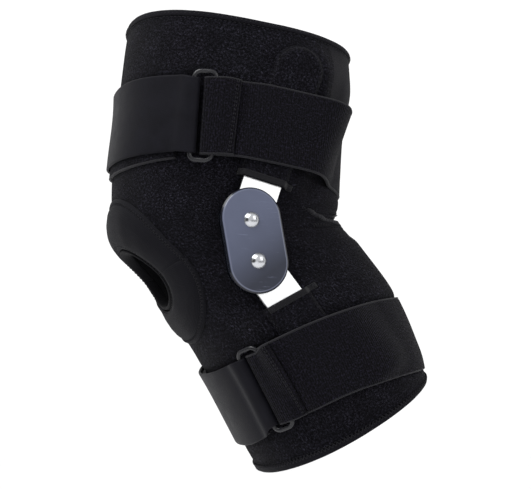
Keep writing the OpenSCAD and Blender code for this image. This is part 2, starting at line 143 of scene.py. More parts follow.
def through(r):
    """A section's middle, half depth and direction from front to back."""
    f, b = r[..., 0:2], r[..., 2:4]
    h = np.linalg.norm(b - f, axis=-1) / 2
    return (f + b) / 2, h, (b - f) / (2 * h)[..., None]


def skin(u, a, o):
    """The leg's surface at section number u and angle a, from the front by the outer side, raised by o."""
    u, a, o = np.broadcast_arrays(*(np.asarray(x, float) for x in (u, a, o)))
    r = row(u)
    c, h, d = through(r)
    k = -np.cos(rad(a)) * (h + o)
    s = r[..., 5] * np.sin(rad(a)) ** 2
    y = c[..., 0] + d[..., 0] * k - d[..., 1] * s
    z = c[..., 1] + d[..., 1] * k + d[..., 0] * s
    return np.stack([(r[..., 4] + o) * wide(a), y, z], -1)


def edge(e, a):
    return e[0] + e[1] * np.cos(rad(a)) + e[2] * np.sin(rad(a)) ** 2


def strut_at(s, v, upper):
    """The y and z of a point s along a strut from its rivet and v across it."""
    p, lean, way = STRUTS[upper]
    return p[0] + s * sin(lean) + v * cos(lean), p[1] + way * (s * cos(lean) - v * sin(lean))


def strut_sv(y, z, upper):
    """The other way round from strut_at."""
    p, lean, way = STRUTS[upper]
    y, z = y - p[0], way * (z - p[1])
    return y * sin(lean) + z * cos(lean), y * cos(lean) - z * sin(lean)


def strut_x(s, upper):
    """The x of a strut's outer face."""
    out = HINGE_X + STRUT_T / 2
    over = np.maximum(0, s - BEND_AT)
    return out + over * tan(radians(3.5)) if upper else out - over * tan(radians(2))


def side_x(y, z, o):
    """The x of the leg's side, raised by o, at a y and z."""
    lo, hi = np.zeros_like(y), np.full_like(y, float(LAST))
    for _ in range(18):
        m = (lo + hi) / 2
        r = row(m)
        dy, dz = r[..., 2] - r[..., 0], r[..., 3] - r[..., 1]
        over = dy * (z - r[..., 1]) - dz * (y - r[..., 0]) > 0
        hi, lo = np.where(over, m, hi), np.where(over, lo, m)
    r = row((lo + hi) / 2)
    c, h, d = through(r)
    k = np.abs((y - c[..., 0]) * d[..., 0] + (z - c[..., 1]) * d[..., 1]) / (h + o)
    return (r[..., 4] + o) * np.maximum(0, 1 - np.minimum(k, 1) ** SQUARE) ** (1 / SQUARE)


def hug(s, v, upper):
    """Share by which the foam sleeve fills up to a strut's inner face."""
    return ((1 - ease((np.abs(v) - 10) / 26)) * ease((s - 19) / 15)
            * (1 - ease((s - LENGTH[upper] + 6) / 26)))


def raised(u, a):
    """Extra offset of the sleeve where it fills up to the struts."""
    q = skin(u, a, SLEEVE_T)
    out = 0.0
    for upper in (True, False):
        s, v = strut_sv(q[..., 1], q[..., 2], upper)
        gap = (strut_x(s, upper) - STRUT_T - 0.6) / np.maximum(0.4, np.abs(wide(a)))
        gap = gap - row(u)[..., 4] - SLEEVE_T
        out = np.maximum(out, hug(s, v, upper) * np.clip(gap, 0, 8))
    return out


def from_middle(s, v, upper):
    """Distance from a strut's middle line, and past its tip from the middle of its round end."""
    tip = LENGTH[upper] - STRUT_W / 2
    return np.where(s > tip, np.hypot(v, s - tip), np.abs(v))


def pocket_x(s, v, upper):
    """The x of a pocket's inner face, which swells over the strut."""
    y, z = strut_at(s, v, upper)
    swell = 1 - ease((from_middle(s, v, upper) - STRUT_W / 2 - 0.3) / 4.6)
    base = side_x(y, z, SLEEVE_T + 0.2)
    base = base + hug(s, v, upper) * np.clip(strut_x(s, upper) - STRUT_T - 0.4 - base, 0, 8)
    return mix(base, strut_x(s, upper) + 0.3, swell)


def signed(a):
    """An angle in degrees between -180 and 180."""
    return (a + 180) % 360 - 180


def press(a, upper):
    """How far a strap pulls the sleeve in behind the leg."""
    at = signed(np.asarray(a, float))
    return (1.9 if upper else 1.4) * ease((np.abs(at) - 108) / 42)


def lift(u, a, o, upper):
    """The least offset of a strap that lies o above the skin and clears what is under it."""
    q = skin(u, a, o + 3.0)
    s, v = strut_sv(q[..., 1], q[..., 2], upper)
    need = (strut_x(s, upper) + 0.3 + POCKET_T + 0.4) / np.maximum(0.3, np.abs(wide(a)))
    need = need - row(u)[..., 4]
    w = np.where(s < 10, 0, 1 - ease((np.abs(v) - POCKET_HALF + 2) / np.where(v < 0, 17, 36)))
    e = 1 - ease((s - LENGTH[upper] - 6) / 14)
    low = o + raised(u, a) - press(a, upper)
    return np.maximum(low, mix(low, np.maximum(low, need), w * e))


def noise2(x, y, seed, scale):
    """Smooth random waves, the same on every run."""
    g = np.random.RandomState(seed)
    out = 0.0
    for _ in range(9):
        t, p, k = g.uniform(0, 2 * pi), g.uniform(0, 2 * pi), g.uniform(0.6, 1.7) / scale
        out = out + np.sin((x * cos(t) + y * sin(t)) * k * 2 * pi + p)
    return out / 3.5


# The creases from behind the hinge to the opening at the back: section number, depth, width and bend,
# the angle where each starts, over how many degrees it deepens, and the angle where it ends.
CREASES = ((4.98, 1.7, 0.075, 0.0, 116, 24, 200), (5.275, 1.5, 0.05, -0.06, 92, 12, 136),
           (5.62, 0.8, 0.13, 0.3, 92, 30, 200), (4.5, 0.55, 0.12, -0.35, 92, 30, 200),
           (4.74, 0.7, 0.06, 0.5, 98, 16, 150))


def relief(u, a):
    """How far the sleeve stands in or out of its plain form, in millimetres."""
    u, a = np.broadcast_arrays(np.asarray(u, float), np.asarray(a, float))
    b = np.abs(signed(a))
    out = 0.22 * noise2(b * MM_PER_DEGREE, u * MM_PER_SECTION, 5, 46)
    out = out * ease((u - 0.3) / 0.5) * ease((9.7 - u) / 0.5)
    for top, low, upper in ((THIGH_TOP, THIGH_LOW, True), (CALF_TOP, CALF_LOW, False)):
        x = np.maximum(edge(top, a) - u, u - edge(low, a)) * MM_PER_SECTION
        beside, under = np.maximum(x, 0), np.minimum(x, 0)
        pull = press(a, upper)
        out = out + np.where(x > 0, 0.9 * (beside / 4) * np.exp(1 - beside / 4) - pull * np.exp(-beside / 5),
                             -0.35 * (1 - np.exp(under / 3)) - pull)
    for uu, deep, w, bend, first, rise, end in CREASES:
        line = uu + bend * ((b - 140) / 90) ** 2
        d = (u - line) / w
        out = out + ease((b - first) / rise) * (1 - ease((b - end) / 16)) * (
            deep * 0.45 * np.exp(-(d / 2.6) ** 2) - deep * np.exp(-d * d))
    return out + raised(u, a)


def surf(u, a, o):
    """The sleeve's surface, o above its inner face."""
    return skin(u, a, o + relief(u, a))


def unit(v):
    return v / np.maximum(np.linalg.norm(v, axis=-1, keepdims=True), 1e-12)


def surf_normal(u, a, o):
    u = np.clip(u, 0.02, LAST - 0.02)
    return unit(np.cross(surf(u + 0.01, a, o) - surf(u - 0.01, a, o), surf(u, a + 0.4, o) - surf(u, a - 0.4, o)))


def circle(n):
    return np.arange(n) * 2 * pi / n


def rounded(x, power):
    return np.sign(x) * np.abs(x) ** power


# ---- mesh building
def in_scene(name, data):
    ob = bpy.data.objects.new(name, data)
    bpy.context.scene.collection.objects.link(ob)
    return ob


def build(name, verts, faces, mats, uvs=None, normals=None, which=None):
    """A mesh object from points in millimetres. faces is a list of index lists or an array."""
    me = bpy.data.meshes.new(name)
    me.from_pydata(metres(verts).tolist(), [], [list(map(int, f)) for f in faces])
    for m in mats if isinstance(mats, (list, tuple)) else [mats]:
        me.materials.append(m)
    me.polygons.foreach_set("use_smooth", [True] * len(me.polygons))
    if which is not None:
        me.polygons.foreach_set("material_index", np.asarray(which, np.int32))
    if uvs is not None:
        layer = me.uv_layers.new(name="UVMap")
        layer.data.foreach_set("uv", np.asarray(uvs, np.float32).ravel())
    me.update()
    if normals is not None:
        me.normals_split_custom_set_from_vertices(np.asarray(normals).tolist())
    return in_scene(name, me)


def outward(ob):
    """Turns the faces of a closed mesh outward."""
    bm = bmesh.new()
    bm.from_mesh(ob.data)
    bmesh.ops.recalc_face_normals(bm, faces=bm.faces)
    bm.to_mesh(ob.data)
    bm.free()
    return ob


def join(parts):
    """One vertex and face list from several."""
    verts, faces, at = [], [], 0
    for v, f in parts:
        verts.append(v)
        faces += [[int(i) + at for i in q] for q in f]
        at += len(v)
    return cat(verts), faces


def cells(nr, nc, wrap_r, wrap_c):
    r, c = np.meshgrid(np.arange(nr if wrap_r else nr - 1), np.arange(nc if wrap_c else nc - 1), indexing="ij")
    return r.ravel(), c.ravel()


def quads(nr, nc, wrap_r=False, wrap_c=False):
    """Faces of a grid of nr rows of nc points."""
    r, c = cells(nr, nc, wrap_r, wrap_c)
    r2, c2 = (r + 1) % nr, (c + 1) % nc
    return np.stack([r * nc + c, r * nc + c2, r2 * nc + c2, r2 * nc + c], -1)


def grid_uv(nr, nc, x, y, wrap_r=False, wrap_c=False):
    """Corner coordinates for quads(), from x and y of shape (nr or nr + 1, nc or nc + 1)."""
    r, c = cells(nr, nc, wrap_r, wrap_c)
    g = np.stack([x, y], -1)
    return np.stack([g[r, c], g[r, c + 1], g[r + 1, c + 1], g[r + 1, c]], 1)


def lengths(p):
    """Distance along a line of points from its first."""
    return cat([[0], np.cumsum(np.linalg.norm(np.diff(p, axis=0), axis=-1))])


def ribbon(name, mid, half, mat, normal):
    """A closed strip of cloth from its middle surface (along, across) and half thickness."""
    nr, nc = mid.shape[:2]
    half = np.broadcast_to(half, (nr, nc))[..., None]
    top, low = mid + normal * half, mid - normal * half
    n = nr * nc
    q = quads(nr, nc)
    x = np.repeat(lengths(mid[:, nc // 2])[:, None], nc, 1)
    y = np.repeat(lengths(mid[nr // 2])[None, :], nr, 0)
    uv = grid_uv(nr, nc, x, y)
    ids, xy = np.arange(n).reshape(nr, nc), np.stack([x, y], -1).reshape(-1, 2)
    rim, rim_uv = [], []
    for line in (ids[:, 0], ids[::-1, -1], ids[0, ::-1], ids[-1, :]):
        i, j = line[:-1], line[1:]
        rim.append(np.stack([i, j, j + n, i + n], -1))
        rim_uv.append(xy[np.stack([i, j, j, i], -1)])
    faces = cat([q[:, ::-1], q + n, *rim])
    uvs = cat([uv[:, ::-1], uv, *rim_uv])
    return outward(build(name, cat([top.reshape(-1, 3), low.reshape(-1, 3)]), faces, mat, uvs))


def caps(n, m):
    """The two end faces of a tube of n loops of m points."""
    return [list(range(m))[::-1], list(range((n - 1) * m, n * m))]


def sweep(name, pts, mat, wrap=True):
    """Closed loops (n, m, 3) joined into a tube; without wrap its ends are closed."""
    n, m = pts.shape[:2]
    ring = cat([pts, pts[:, :1]], 1)
    if wrap:
        ring = cat([ring, ring[:1]], 0)
    x = np.repeat(lengths(ring[:, 0])[:, None], m + 1, 1)
    y = np.repeat(lengths(ring[0])[None, :], ring.shape[0], 0)
    uv = grid_uv(n, m, x, y, wrap_r=wrap, wrap_c=True).reshape(-1, 2)
    faces = quads(n, m, wrap_r=wrap, wrap_c=True).tolist()
    if not wrap:
        faces += caps(n, m)
        uv = cat([uv, pts[0][::-1, 1:3], pts[-1][:, 1:3]])
    ob = outward(build(name, pts.reshape(-1, 3), faces, mat, uv))
    # Flat ends, so that two halves that meet there shade as one.
    for end in [] if wrap else ob.data.polygons[-2:]:
        end.use_smooth = False
    return ob


def threads(a, b, normal, r, rise, sides=5):
    """Short threads from points a to points b, arched away from the cloth."""
    t = np.array([0, 0.18, 0.5, 0.82, 1.0])
    high = np.array([-0.9, 0.35, 1.0, 0.35, -0.9])
    rr = r * np.array([0.55, 1, 1, 1, 0.55])
    p = a[:, None] + (b - a)[:, None] * t[:, None]
    p = p + normal[:, None] * np.where(high > 0, high * rise, high * r)[:, None]
    d = unit(b - a)[:, None]
    side = unit(np.cross(d, normal[:, None]))
    up = np.cross(side, d)
    g = circle(sides)[:, None]
    ring = p[:, :, None] + rr[:, None, None] * (np.cos(g) * up[:, :, None] + np.sin(g) * side[:, :, None])
    k, n = p.shape[:2]
    base, ends = quads(n, sides, wrap_c=True), caps(n, sides)
    faces = []
    for i in range(k):
        faces += (base + i * n * sides).tolist()
        faces += [[c + i * n * sides for c in end] for end in ends]
    return ring.reshape(-1, 3), faces


def resample(p, n, step, closed):
    """A line's points and normals, a whole number of steps apart."""
    if closed:
        p, n = cat([p, p[:1]]), cat([n, n[:1]])
    s = lengths(p)
    k = max(2, int(round(s[-1] / step)))
    t = np.linspace(0, s[-1], k + 1)
    q, m = (np.stack([np.interp(t, s, x[:, i]) for i in range(3)], -1) for x in (p, n))
    return q, unit(m)


def zigzag(p, n, pitch, amp, r, rise, closed=False):
    q, m = resample(p, n, pitch / 2, closed)
    d = unit(np.gradient(q, axis=0))
    q = q + unit(np.cross(d, m)) * (amp * np.where(np.arange(len(q)) % 2, 1, -1))[:, None]
    return threads(q[:-1], q[1:], unit(m[:-1] + m[1:]), r, rise)


def running(p, n, pitch, share, r, rise, closed=False):
    """Straight stitches along a line, each as long as its share of the pitch."""
    q, m = resample(p, n, pitch, closed)
    return threads(q[:-1], q[:-1] + (q[1:] - q[:-1]) * share, unit(m[:-1] + m[1:]), r, rise)


# ---- materials
class Mat:
    """A node material: call with a node type, its inputs (values or sockets) and its properties."""

    def __init__(self, name, base, **sockets):
        self.mat = bpy.data.materials.new(name)
        self.mat.use_nodes = True
        self.tree = self.mat.node_tree
        self.bsdf = self.tree.nodes["Principled BSDF"]
        self.bsdf.inputs["Base Color"].default_value = (*base, 1)
        for k, v in sockets.items():
            self.bsdf.inputs[k.replace("_", " ")].default_value = v

    def __call__(self, kind, inputs=None, **props):
        node = self.tree.nodes.new("ShaderNode" + kind)
        for k, v in props.items():
            setattr(node, k, v)
        for k, v in (inputs or {}).items():
            if isinstance(v, bpy.types.NodeSocket):
                self.tree.links.new(v, node.inputs[k])
            else:
                node.inputs[k].default_value = v
        return node

    def math(self, op, a, b=0.0, c=0.0):
        return self("Math", {0: a, 1: b, 2: c}, operation=op).outputs[0]

    def add(self, a, b):
        return self.math("ADD", a, b)

    def mul(self, a, b):
        return self.math("MULTIPLY", a, b)

    def coord(self, kind="UV", scale=(1, 1, 1), turn=0.0):
        vec = self("TexCoord").outputs[kind]
        return self("Mapping", {"Vector": vec, "Scale": scale, "Rotation": (0, 0, turn)}).outputs[0]

    def noise(self, vec, scale, detail=2.0, rough=0.5, distortion=0.0):
        return self("TexNoise", {"Vector": vec, "Scale": scale, "Detail": detail, "Roughness": rough,
                                 "Distortion": distortion}).outputs["Fac"]

    def wave(self, vec, scale, distortion, detail=2.0, bands="X", detail_scale=1.0):
        return self("TexWave", {"Vector": vec, "Scale": scale, "Distortion": distortion, "Detail": detail,
                                "Detail Scale": detail_scale}, bands_direction=bands).outputs["Fac"]

    def pebbles(self, vec, scale):
        return self("TexVoronoi", {"Vector": vec, "Scale": scale}).outputs["Distance"]

    def ramp(self, fac, *stops):
        node = self("ValToRGB", {"Fac": fac})
        e = node.color_ramp.elements
        while len(e) < len(stops):
            e.new(0.5)
        for el, (pos, val) in zip(e, stops):
            el.position = pos
            el.color = (val, val, val, 1)
        return node.outputs["Color"]

    def tint(self, a, b, fac):
        a, b = ((*v, 1) if isinstance(v, tuple) else v for v in (a, b))
        return self("Mix", {0: fac, 6: a, 7: b}, data_type="RGBA").outputs[2]

    def touch(self, color, shade, fac, start, stop, most):
        """A colour tinted with a shade where fac rises from start to stop, by most at the end."""
        return self.tint(color, shade, self.ramp(fac, (start, 0.0), (stop, most)))

    def bump(self, height, distance, strength):
        return self("Bump", {"Height": height, "Distance": distance, "Strength": strength}).outputs[0]

    def done(self, color, rough=None, normal=None):
        for k, v in (("Base Color", color), ("Roughness", rough), ("Normal", normal)):
            if v is not None:
                self.tree.links.new(v, self.bsdf.inputs[k])
        return self.mat


IN_MM = (1000, 1000, 1000)


def times(c, k):
    return tuple(x * k for x in c)


def loop_cloth(name, base, fleck):
    """Brushed loop fabric: a dark ground with small bright loops standing out of it, lighter fibre brightened as
    painted glints where the loops catch the light.
    """
    m = Mat(name, base, Sheen_Weight=0.012, Specular_IOR_Level=0.03)
    uv = m.coord()
    loops = m.noise(uv, 0.72, 4.0, 0.8, 0.5)
    patch = m.noise(uv, 0.06, 3.0, 0.6)
    curl = m.pebbles(uv, 1.5)
    # Bright loops: lighter fibre loops, brightened as painted glints where they catch the light.
    f = m.ramp(loops, (0.46, 0.0), (0.58, 0.22), (0.72, 1.0))
    f = m.mul(f, m.ramp(patch, (0.35, 0.45), (0.65, 1.0)))
    col = m.tint(times(base, 0.55), times(base, fleck), f)
    h = m.add(m.mul(loops, 1.4), m.mul(curl, -0.8))
    return m.done(col, m.ramp(loops, (0.3, 0.95), (0.75, 0.6)), m.bump(h, 0.0006, 0.9))


def jersey_cloth(name, base):
    """Smooth knitted jersey with fine rows of stitches."""
    m = Mat(name, base, Sheen_Weight=0.02, Specular_IOR_Level=0.04)
    uv = m.coord()
    knit = m.mul(m.wave(uv, 0.5, 0.6, 1.0), m.wave(uv, 0.36, 1.2, 1.0, "Y"))
    fuzz = m.noise(uv, 2.2, 3.0, 0.6)
    patch = m.noise(uv, 0.06, 2.0)
    col = m.touch(times(base, 0.75), times(base, 1.5), knit, 0.15, 0.85, 1.0)
    col = m.touch(col, times(base, 1.9), fuzz, 0.55, 0.8, 0.6)
    col = m.touch(col, times(base, 1.35), patch, 0.45, 0.75, 0.4)
    h = m.add(m.mul(knit, 0.7), m.mul(fuzz, 0.5))
    return m.done(col, m.ramp(fuzz, (0.3, 0.85), (0.8, 0.6)), m.bump(h, 0.00025, 0.8))


def elastic_cloth(name, base):
    """Woven elastic: fine uneven ribs across the strap, crossed by lengthwise rows and flecked with fuzz."""
    m = Mat(name, base, Sheen_Weight=0.02, Specular_IOR_Level=0.05)
    uv = m.coord()
    rib = m.wave(uv, 0.215, 2.6, 3.0, detail_scale=2.5)
    rows = m.wave(uv, 0.3, 1.0, bands="Y")
    fuzz = m.noise(uv, 0.8, 4.0, 0.75)
    weave = m.mul(rib, m.add(m.mul(rows, 0.5), 0.5))
    col = m.touch(times(base, 0.4), times(base, 2.3), weave, 0.15, 0.85, 1.0)
    col = m.touch(col, times(base, 16.0), fuzz, 0.5, 0.7, 0.8)
    h = m.add(weave, m.mul(fuzz, 0.35))
    return m.done(col, m.ramp(fuzz, (0.3, 0.9), (0.8, 0.62)), m.bump(h, 0.0005, 0.9))


def piping_cloth(name, base):
    m = Mat(name, base, Sheen_Weight=0.05, Specular_IOR_Level=0.08)
    twill = m.wave(m.coord(turn=0.5), 0.4, 0.5, 1.0)
    col = m.tint(times(base, 0.7), times(base, 1.4), twill)
    return m.done(col, m.ramp(twill, (0.0, 0.8), (1.0, 0.55)), m.bump(twill, 0.0002, 0.8))


def vinyl(name, base):
    """Smooth hook tab backing: satin, finely grained, a little rubbed."""
    m = Mat(name, base, Specular_IOR_Level=0.05, Sheen_Weight=0.01)
    uv = m.coord()
    grain = m.pebbles(uv, 1.9)
    cloud = m.noise(uv, 0.09, 3.0, 0.6)
    fine = m.noise(uv, 3.2, 2.0)
    col = m.touch(times(base, 0.86), times(base, 1.22), cloud, 0.35, 0.7, 1.0)
    col = m.touch(col, times(base, 1.6), fine, 0.6, 0.85, 0.35)
    h = m.add(grain, m.mul(cloud, 0.6))
    return m.done(col, m.ramp(cloud, (0.3, 0.5), (0.75, 0.6)), m.bump(h, 0.00012, 0.7))


def thread_mat(name, base):
    m = Mat(name, base, Sheen_Weight=0.03, Specular_IOR_Level=0.1)
    ply = m.wave(m.coord("Object", IN_MM), 0.9, 1.0, bands="DIAGONAL")
    return m.done(m.tint(times(base, 0.7), times(base, 1.3), ply), m.ramp(ply, (0.0, 0.7), (1.0, 0.5)),
                  m.bump(ply, 0.0001, 0.6))


COVER_STRAIGHT = 14.0    # half length of a cover's straight sides


def gloss_plastic(name, base):
    """Dark smoky hinge cover with faint hairline scuffs, painted shade towards the lower back and on the side
    wall, and a painted highlight line round the face.
    """
    m = Mat(name, base, Specular_IOR_Level=0.2, Coat_Weight=0.1, Coat_Roughness=0.08)
    v = m.coord("Object", IN_MM)
    cloud = m.noise(v, 0.06, 3.0, 0.6)
    scratch = m.noise(m.coord("Object", (1000, 160, 2600)), 0.35, 4.0, 0.7)
    area = m.ramp(m.noise(v, 0.045, 1.0), (0.55, 0.0), (0.66, 1.0))
    lines = m.mul(m.ramp(scratch, (0.6, 0.0), (0.68, 1.0)), area)
    # Painted shade darkens it towards the lower back, with a painted highlight line round the face and painted
    # shade on the side wall.
    about = m("VectorMath", {0: v, 1: tuple(ORIGIN * -1000)}, operation="ADD").outputs[0]
    at = m("SeparateXYZ", {"Vector": about})
    y, z = at.outputs["Y"], at.outputs["Z"]
    # Painted shade: lighter at the upper front, darker towards the lower back.
    painted_shade_slope = m.ramp(m.add(m.mul(z, -0.0105), m.math("MULTIPLY_ADD", y, 0.0075, 0.5)),
                   (0.33, 0.0), (0.52, 0.25), (0.78, 1.0))
    col = m.tint(times(base, 1.08), times(base, 0.3), painted_shade_slope)
    col = m.tint(times(base, 0.12), col, m.ramp(cloud, (0.2, 0.9), (0.6, 1.0)))
    a = m.math("SUBTRACT", m.mul(z, cos(LEAN)), m.mul(y, sin(LEAN)))
    c = m.add(m.mul(y, cos(LEAN)), m.mul(z, sin(LEAN)))
    a = m.math("MAXIMUM", m.math("SUBTRACT", m.math("ABSOLUTE", a), COVER_STRAIGHT), 0.0)
    d = m.math("SQRT", m.add(m.mul(a, a), m.mul(c, c)))
    d = m.mul(d, 0.05)
    # Painted highlight: a pale line round the face where the bevel reflects the light.
    rim = m.ramp(d, (0.858, 0.0), (0.875, 0.75), (0.898, 0.75), (0.908, 0.0))
    col = m.tint(col, tuple(x * 1.15 + 0.03 for x in base), rim)
    # Painted shade on the side wall outside the bevel.
    col = m.touch(col, times(base, 0.1), d, 0.905, 0.92, 1.0)
    col = m.tint(col, times(base, 1.6), m.mul(lines, 0.4))
    rough = m.add(m.ramp(cloud, (0.3, 0.17), (0.8, 0.25)), m.mul(lines, 0.25))
    return m.done(col, rough, m.bump(m.add(cloud, m.mul(lines, 0.2)), 0.00015, 0.5))


def brushed_metal(name, base, rough, grain=(60, 1600, 60), depth=0.00004):
    m = Mat(name, base, Metallic=1.0)
    lines = m.noise(m.coord("Object", grain), 1.0, 3.0, 0.65)
    cloud = m.noise(m.coord("Object", IN_MM), 0.05, 2.0)
    col = m.tint(times(base, 0.94), base, lines)
    r = m.add(m.mul(lines, rough * 0.5), m.mul(cloud, rough))
    return m.done(col, r, m.bump(lines, depth, 0.5))


def wire_paint(name, base):
    """Black paint, worn in places."""
    m = Mat(name, base, Specular_IOR_Level=0.28)
    v = m.coord("Object", IN_MM)
    n = m.noise(v, 0.8, 3.0)
    worn = m.ramp(m.noise(v, 0.25, 3.0, 0.7), (0.62, 0.0), (0.74, 1.0))
    col = m.tint(base, times(base, 3.0), worn)
    return m.done(col, m.ramp(n, (0.3, 0.22), (0.7, 0.34)), m.bump(n, 0.00008, 0.5))


LOOP = loop_cloth("loop_cloth", (0.0024, 0.0023, 0.0034), 16.0)
JERSEY = jersey_cloth("jersey_cloth", (0.0046, 0.0044, 0.0062))
PAD = jersey_cloth("pad_jersey", (0.0047, 0.0046, 0.0062))
LINING = jersey_cloth("lining_jersey", (0.0050, 0.0049, 0.0064))
# Jersey for the kneecap opening's rolled edge, darkened as painted shade for the shadowed opening.
SHADE_PAINTED_BINDING = jersey_cloth("binding_jersey", (0.0022, 0.0021, 0.0029))
ELASTIC = elastic_cloth("woven_elastic", (0.0009, 0.0008, 0.0015))
PIPING = piping_cloth("strap_edging", (0.0088, 0.0086, 0.0108))
TAPE = piping_cloth("mouth_tape_twill", (0.0042, 0.0041, 0.0054))
VINYL = vinyl("hook_tab_vinyl", (0.0038, 0.0037, 0.0056))
THREAD = thread_mat("thread", (0.0080, 0.0078, 0.0100))
COVER = gloss_plastic("cover_plastic", (0.058, 0.066, 0.101))
COVER_IN = gloss_plastic("cover_plastic_inner", (0.020, 0.023, 0.034))
STRUT = brushed_metal("polished_aluminium", (0.93, 0.935, 0.945), 0.34)
WASHER = brushed_metal("washer_steel", (0.62, 0.62, 0.63), 0.4)
CHROME = brushed_metal("rivet_chrome", (0.44, 0.45, 0.47), 0.36, (900, 900, 900), 0.00002)
WIRE = wire_paint("ring_wire", (0.006, 0.006, 0.008))

# ---- zones of motion
# The sleeve's two meshes meet at a plane square to the hinge's own line, given as a height along it.
N_UP = np.array([0, -sin(LEAN), cos(LEAN)])
SPLIT = -8


def settle(ob, zone, slot, *nodes):
    """Puts a piece on its body, or bakes a piece of the upper or lower half of the leg in place."""
    if zone == "upper":
        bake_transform(ob)
    elif zone == "lower":
        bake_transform(ob)
    else:
        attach(ob, zone)
    if nodes:
        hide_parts(*nodes)
    return ob


def stitch(name, parts, zone, slot="jersey"):
    v, f = join(parts)
    settle(build(name, v, f, THREAD), zone, slot)


def side_name(side):
    return "lateral" if side > 0 else "medial"


# ---- sleeve
COLS = 240
JERSEY_FROM, JERSEY_END = 127, 3.0
ANG = np.arange(COLS + 1) * 360.0 / COLS


def split_u(a):
    """The section number where the plane between the sleeve's two meshes cuts it."""
    lo, hi = np.full_like(a, 5.0), np.full_like(a, 7.0)
    for _ in range(24):
        m = (lo + hi) / 2
        high = skin(m, a, 2.0) @ N_UP > SPLIT
        lo, hi = np.where(high, m, lo), np.where(high, hi, m)
    return (lo + hi) / 2


def holes(u, a):
    """Cells kept outside both openings, with the vertices beside them moved to the rim."""
    one, two = slice(None, -1), slice(1, None)
    corners = ((one, one), (two, one), (one, two), (two, two))
    uu, aa, keep = u, a, True
    for hu0, ha0, hu, ha in (CAP, REAR):
        da = signed(a - ha0)
        du = u - hu0
        rc = np.hypot(sum(du[c] for c in corners) / 4 / hu, sum(da[c] for c in corners) / 4 / ha)
        seam = np.abs(da[:-1, :-1] - da[:-1, 1:]) > 90
        out = (rc >= 1) | seam
        near, kept = np.zeros_like(u, bool), np.zeros_like(u, bool)
        for c in corners:
            near[c] |= ~out
            kept[c] |= out
        near[:, 0] = near[:, -1] = near[:, 0] | near[:, -1]
        rim = near & kept
        rho = np.maximum(np.hypot(du / hu, da / ha), 1e-6)
        uu = np.where(rim, hu0 + du / rho, uu)
        aa = np.where(rim, a - da + da / rho, aa)
        keep = keep & out
    return uu, aa, keep


def sleeve_half(name, upper):
    """One mesh of the sleeve: outside, inside and the rims of its openings."""
    mid = split_u(ANG)
    n = 84 if upper else 78
    t = np.linspace(0, 1, n)[:, None]
    u = mix(0.03, mid[None, :], t) if upper else mix(mid[None, :], LAST - 0.03, t)
    a = np.repeat(ANG[None, :], n, 0)
    ue, ae, keep = holes(u, a)
    top, low = surf(ue, ae, SLEEVE_T), surf(ue, ae, 0.0)
    nt = surf_normal(ue, ae, SLEEVE_T)
    c = COLS
    top, low, nt = (x[:, :c].reshape(-1, 3) for x in (top, low, nt))
    verts, normals = cat([top, low]), cat([nt, -nt])
    q = quads(n, c, wrap_c=True)
    x, y = ae * MM_PER_DEGREE, ue * MM_PER_SECTION
    uv = grid_uv(n, c, x, y, wrap_c=True)
    k = keep.ravel()
    q, uv = q[k], uv[k]
    # The panel behind the thigh is jersey.
    at = np.abs(signed(a[:-1, :-1] + 0.75))
    uc = (u[:-1, :-1] + u[1:, 1:]) / 2
    back = ((at > JERSEY_FROM) & (uc < JERSEY_END)).ravel()[k]
    edges = {(face[i], face[(i + 1) % 4]): True for face in q.tolist() for i in range(4)}
    N = n * c
    i, j = np.array([(i, j) for i, j in edges if (j, i) not in edges]).T
    xy = np.stack([x, y], -1)[:, :c].reshape(-1, 2)
    faces = cat([q[:, ::-1], q + N, np.stack([j + N, i + N, i, j], -1)])
    uvs = cat([uv[:, ::-1], uv, xy[np.stack([j, i, i, j], -1)]])
    which = cat([back.astype(int), np.full(len(q) + len(i), 2)])
    used = np.unique(faces)
    remap = np.full(len(verts), -1)
    remap[used] = np.arange(len(used))
    return build(name, verts[used], remap[faces], [LOOP, JERSEY, LINING], uvs, normals[used], which)


settle(sleeve_half("thigh_sleeve_cloth", True), "upper", "loop_fabric", "thigh_sleeve", "knee_sleeve")
settle(sleeve_half("calf_sleeve_cloth", False), "lower", "loop_fabric", "calf_sleeve")

# ---- hems
def hem(name, u0, s, node, body):
    """Folded jersey over the sleeve's cut edge, from outside over the edge to inside."""
    w, t = 0.2, SLEEVE_T
    prof = [(w, t + 0.18), (w, t + 0.75), (w - 0.018, t + 1.02), (w * 0.72, t + 1.12), (w * 0.45, t + 1.18),
            (w * 0.22, t + 1.1), (0.016, t + 0.75), (0.002, t + 0.1), (-0.004, t / 2), (0.002, -0.1),
            (0.016, -0.7), (w * 0.22, -1.0), (w * 0.5, -1.08), (w - 0.018, -0.95), (w, -0.7), (w, -0.16),
            (w * 0.6, -0.12), (0.045, -0.1), (0.032, 0.3), (0.030, t / 2), (0.032, t - 0.3), (0.045, t + 0.12),
            (w * 0.6, t + 0.14)]
    a, pts = ANG[:-1], []
    for du, o in prof:
        ripple = 0.10 * noise2(a * MM_PER_DEGREE, np.full_like(a, du * 40), 11, 14)
        pts.append(edge_skin(u0, s * du, a, o + (ripple if o > t / 2 else 0)))
    settle(sweep(name, np.stack(pts, 1), JERSEY), body, "jersey", node)


def edge_skin(u0, du, a, o):
    """The surface near a free edge; past the edge it runs on straight."""
    u = u0 + du
    inside = np.clip(u, 0.0, LAST - 1e-3)
    p = surf(inside, a, o)
    over = u - inside
    if over != 0:
        step = 0.05 if over < 0 else -0.05
        p = p + (surf(inside, a, o) - surf(inside + step, a, o)) * (abs(over) / 0.05)
    return p


hem("thigh_hem_fold", 0.0, 1, "thigh_hem", "thigh")
hem("calf_hem_fold", float(LAST), -1, "calf_hem", "calf")


def on_cloth(u, a, off):
    """Points of a line on the sleeve, with their normals."""
    return surf(u, a, off), surf_normal(u, a, off)


def round_line(u, off):
    a = np.linspace(0, 360, 720, endpoint=False)
    return on_cloth(np.full_like(a, u), a, off)


